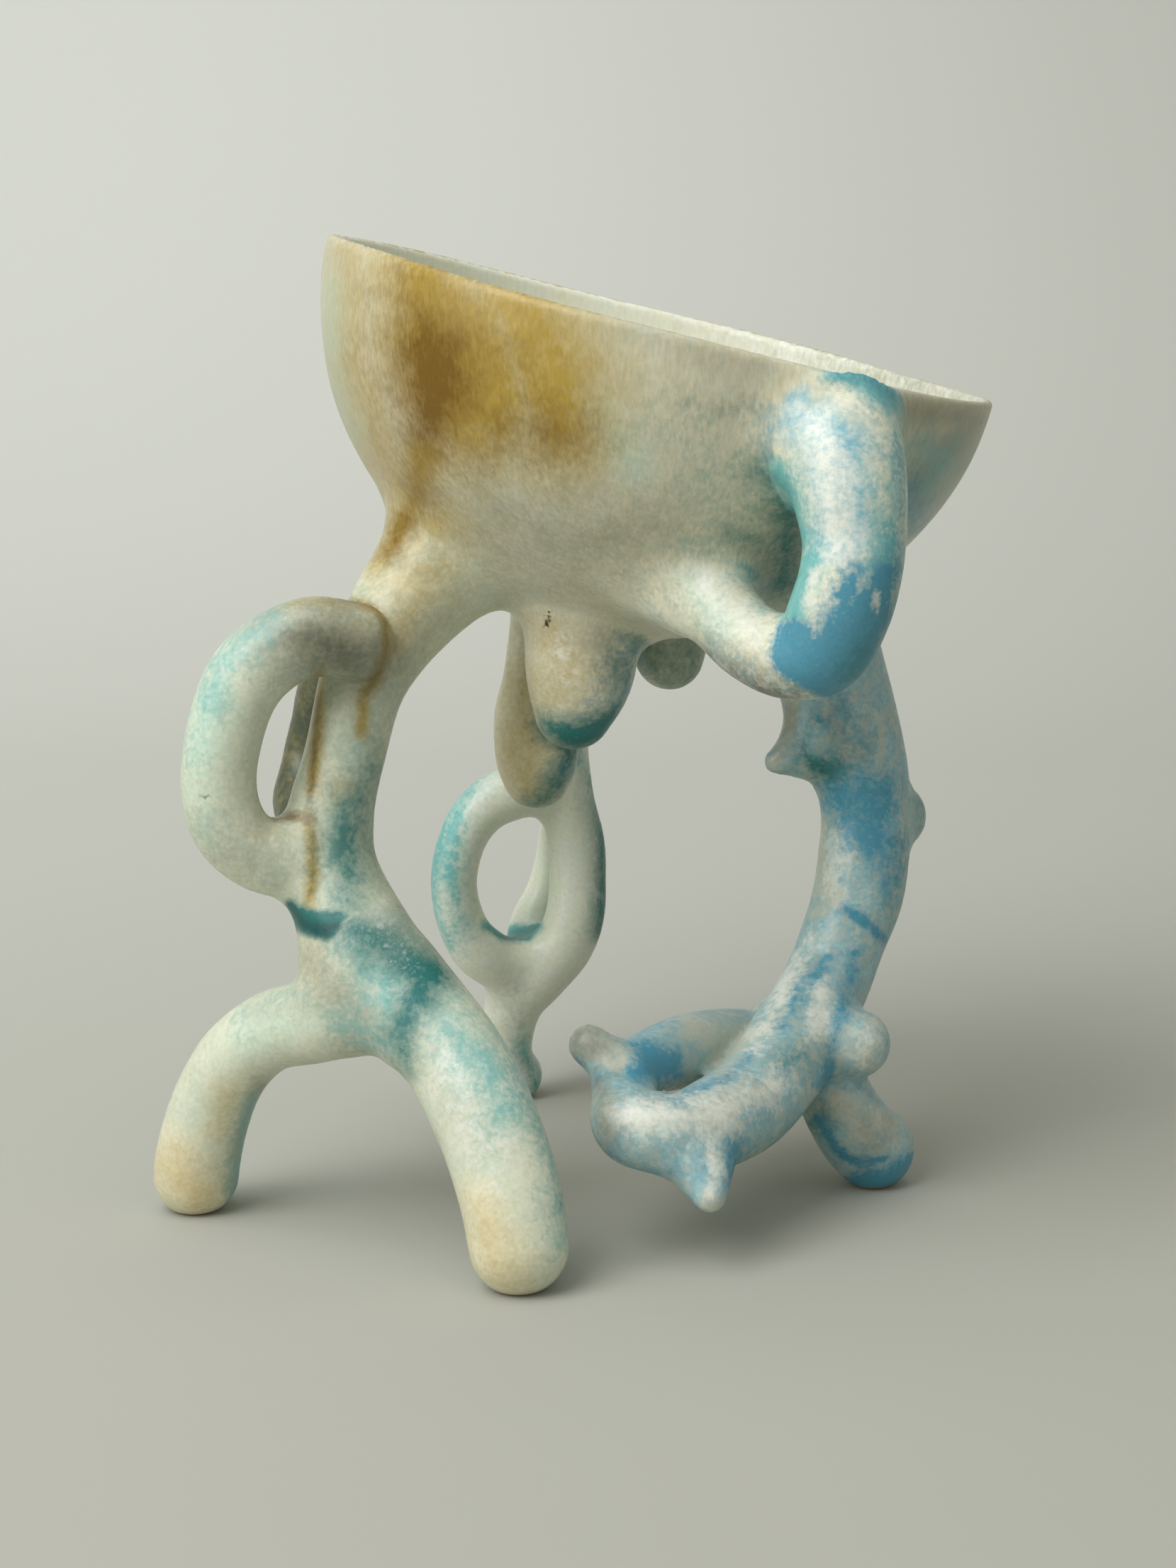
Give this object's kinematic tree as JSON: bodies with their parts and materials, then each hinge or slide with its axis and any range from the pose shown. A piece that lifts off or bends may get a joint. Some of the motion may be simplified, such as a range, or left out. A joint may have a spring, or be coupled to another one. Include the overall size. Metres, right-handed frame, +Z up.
{
  "type": "footed ceramic bowl",
  "caption": "Footed ceramic bowl: a tilted half-round bowl carried on rolled clay limbs with open loops, a curl, knobs and glaze drips, with a side handle.",
  "frame": {"origin": "on the floor plane, under the middle of the bowl's overall bounding box", "axes": "+Z up from the floor; +X to the right of the front view, the way the rim leans down; +Y away from the viewer"},
  "size_m": [0.1944, 0.1764, 0.2244],
  "materials": {
    "glaze_ivory": "satin reactive glaze, ivory with ochre stain",
    "glaze_cream_teal": "satin reactive glaze, cream with teal runs",
    "glaze_cream": "satin glaze, cream with mint and ochre tip",
    "glaze_mint": "satin glaze, cream with pale mint",
    "glaze_brown": "satin glaze, brown and dark green",
    "glaze_sea_green": "satin glaze, mint and sea green",
    "glaze_turquoise": "satin glaze, mottled turquoise",
    "glaze_blue": "satin reactive glaze, mottled blue and beige",
    "glaze_blue_beige": "satin glaze, beige grey over blue",
    "glaze_sky_blue": "satin glaze, white cream mottled with sky blue",
    "glaze_olive": "gloss glaze, olive beige with a teal tip",
    "glaze_grey_teal": "gloss glaze, dark grey teal",
    "glaze_white_blue": "satin glaze, white over pale blue"
  },
  "bodies": {
    "root": {"bowl": "glaze_ivory", "left_leg": "glaze_cream_teal", "left_side_foot": "glaze_cream", "left_outer_loop": "glaze_mint", "left_back_bar": "glaze_brown", "rear_leg": "glaze_sea_green", "rear_ring": "glaze_turquoise", "rear_brace": "glaze_sea_green", "right_leg": "glaze_blue", "right_curl": "glaze_blue", "right_foot": "glaze_blue_beige", "handle": "glaze_sky_blue", "centre_drip": "glaze_olive", "long_drip": "glaze_olive", "small_drip": "glaze_grey_teal", "inner_thorn": "glaze_blue_beige", "outer_knob": "glaze_blue", "lower_knob": "glaze_blue_beige", "curl_knob": "glaze_blue_beige", "curl_thorn": "glaze_white_blue"}
  },
  "joints": []
}
